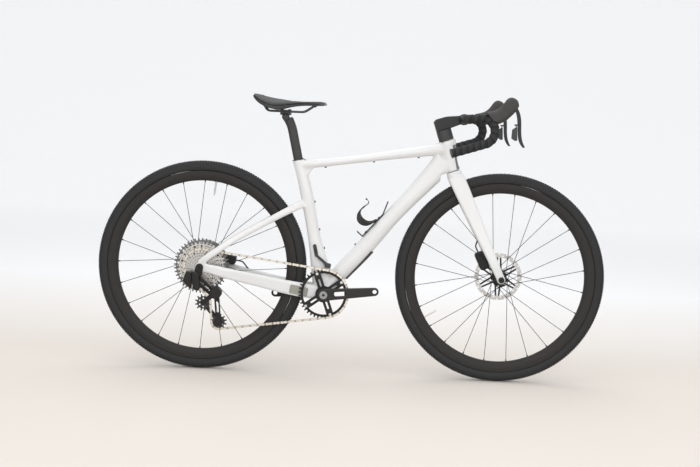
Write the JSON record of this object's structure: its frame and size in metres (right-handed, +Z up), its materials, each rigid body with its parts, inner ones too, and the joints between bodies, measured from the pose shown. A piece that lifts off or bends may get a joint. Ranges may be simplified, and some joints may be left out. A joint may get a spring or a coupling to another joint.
{
  "type": "gravel bicycle",
  "caption": "Drop-bar gravel bicycle with a moulded frame and fork, deep rims, disc brakes and a single-ring drivetrain; it steers, rolls, pedals, brakes and adjusts at the saddle.",
  "frame": {"origin": "on the ground, midway between the two axles, in the plane of the wheels", "axes": "+X forwards, +Y to the rider's left, +Z up"},
  "size_m": [1.7016, 0.487, 0.9489],
  "materials": {
    "alloy": "turned alloy",
    "black_metal": "satin black anodised",
    "carbon": "satin black moulded fibre",
    "chain_metal": "plated steel",
    "cover": "matt cover",
    "frame_paint": "white gloss paint over a moulded frame",
    "grey_metal": "bead blasted",
    "plastic": "matt moulding",
    "rubber": "moulded rubber",
    "silver": "bright steel",
    "tape": "matt wrapped tape",
    "tyre": "matt rubber"
  },
  "bodies": {
    "frame": {"frame": "frame_paint", "headset_bearings": "silver", "seat_clamp": "rubber", "down_tube_guard": "rubber", "chainstay_plate": "grey_metal", "rear_axle": "black_metal", "rear_caliper": "black_metal", "rear_hose": "rubber", "bottom_bracket_cups": "black_metal", "derailleur_knuckle": "black_metal", "derailleur_battery": "plastic", "derailleur_links": "black_metal", "bottle_cage": "carbon", "frame_bolts": "silver", "chain_guide": "plastic", "chain": "chain_metal"},
    "front_end": {"fork": "frame_paint", "headset_spacers": "plastic", "stem": "black_metal", "handlebar": "black_metal", "bar_tape": "tape", "bar_plugs": "plastic", "hoods": "rubber", "front_axle": "black_metal", "front_caliper": "black_metal", "front_hose": "rubber"},
    "brake_lever_right": {"brake_lever_right": "black_metal"},
    "brake_lever_left": {"brake_lever_left": "black_metal"},
    "shift_paddle_right": {"shift_paddle_right": "plastic"},
    "shift_paddle_left": {"shift_paddle_left": "plastic"},
    "front_wheel": {"front_tyre": "tyre", "front_rim": "carbon", "front_spokes": "black_metal", "front_hub": "black_metal", "front_valve": "silver", "front_rotor": "silver"},
    "rear_wheel": {"rear_tyre": "tyre", "rear_rim": "carbon", "rear_spokes": "black_metal", "rear_hub": "black_metal", "rear_valve": "silver", "rear_rotor": "silver"},
    "crankset": {"crank_spindle": "alloy", "crank_arm_right": "carbon", "crank_arm_left": "carbon", "crank_caps": "grey_metal", "chainring": "black_metal", "chainring_spider": "black_metal", "chainring_bolts": "silver"},
    "cassette": {"freehub": "alloy", "cassette_carrier": "black_metal", "cassette_cogs": "silver"},
    "derailleur_cage": {"derailleur_cage": "black_metal"},
    "guide_pulley": {"guide_pulley": "plastic"},
    "tension_pulley": {"tension_pulley": "plastic"},
    "seatpost": {"seatpost": "carbon"},
    "saddle_clamp": {"saddle_clamp": "black_metal"},
    "saddle": {"saddle_rails": "silver", "saddle_shell": "plastic", "saddle_pad": "cover"}
  },
  "joints": [
    {"name": "steering", "type": "hinge", "parent": "frame", "child": "front_end", "pos_m": [0.32924, 0, 0.70256], "axis": [-0.3256, 0, 0.9455], "range_deg": [-60, 60]},
    {"name": "front_wheel_spin", "type": "hinge", "parent": "front_end", "child": "front_wheel", "pos_m": [0.5, 0, 0.351], "axis": [0, 1, 0], "continuous": true},
    {"name": "rear_wheel_spin", "type": "hinge", "parent": "frame", "child": "rear_wheel", "pos_m": [-0.5, 0, 0.351], "axis": [0, 1, 0], "continuous": true},
    {"name": "crank_spin", "type": "hinge", "parent": "frame", "child": "crankset", "pos_m": [-0.08675, 0, 0.276], "axis": [0, 1, 0], "continuous": true, "deforming": ["chain"]},
    {"name": "cassette_spin", "type": "hinge", "parent": "frame", "child": "cassette", "pos_m": [-0.5, 0, 0.351], "axis": [0, 1, 0], "continuous": true},
    {"name": "cage_swing", "type": "hinge", "parent": "frame", "child": "derailleur_cage", "pos_m": [-0.445, 0, 0.267], "axis": [0, -1, 0], "range_deg": [0, 30], "stiffness_Nm_per_rad": 1.2, "springref_deg": -28.65, "deforming": ["chain"]},
    {"name": "guide_pulley_spin", "type": "hinge", "parent": "derailleur_cage", "child": "guide_pulley", "pos_m": [-0.48844, 0, 0.22856], "axis": [0, 1, 0], "continuous": true},
    {"name": "tension_pulley_spin", "type": "hinge", "parent": "derailleur_cage", "child": "tension_pulley", "pos_m": [-0.43522, 0, 0.16547], "axis": [0, 1, 0], "continuous": true},
    {"name": "brake_lever_right_pull", "type": "hinge", "parent": "front_end", "child": "brake_lever_right", "pos_m": [0.50042, -0.198, 0.92116], "axis": [0, 1, 0], "range_deg": [0, 18], "stiffness_Nm_per_rad": 3, "springref_deg": -14.32},
    {"name": "brake_lever_left_pull", "type": "hinge", "parent": "front_end", "child": "brake_lever_left", "pos_m": [0.50042, 0.198, 0.92116], "axis": [0, 1, 0], "range_deg": [0, 18], "stiffness_Nm_per_rad": 3, "springref_deg": -14.32},
    {"name": "shift_paddle_right_push", "type": "hinge", "parent": "brake_lever_right", "child": "shift_paddle_right", "pos_m": [0.50382, -0.2068, 0.85916], "axis": [0, 0, -1], "range_deg": [0, 8], "stiffness_Nm_per_rad": 0.3, "springref_deg": -11.46},
    {"name": "shift_paddle_left_push", "type": "hinge", "parent": "brake_lever_left", "child": "shift_paddle_left", "pos_m": [0.50382, 0.2068, 0.85916], "axis": [0, 0, 1], "range_deg": [0, 8], "stiffness_Nm_per_rad": 0.3, "springref_deg": -11.46},
    {"name": "seatpost_height", "type": "slide", "parent": "frame", "child": "seatpost", "axis": [-0.23, 0, 0.9732], "range_m": [-0.04, 0.03]},
    {"name": "saddle_tilt", "type": "hinge", "parent": "seatpost", "child": "saddle_clamp", "pos_m": [-0.23893, 0, 0.85893], "axis": [0, 1, 0], "range_deg": [-8, 8]},
    {"name": "saddle_slide", "type": "slide", "parent": "saddle_clamp", "child": "saddle", "axis": [1, 0, 0], "range_m": [-0.015, 0.015]}
  ],
  "couplings": [
    {"joint": "cassette_spin", "follows": "crank_spin", "ratio": 1.4286},
    {"joint": "tension_pulley_spin", "follows": "crank_spin", "ratio": 3.3333},
    {"joint": "guide_pulley_spin", "follows": "crank_spin", "ratio": -3.3333}
  ]
}
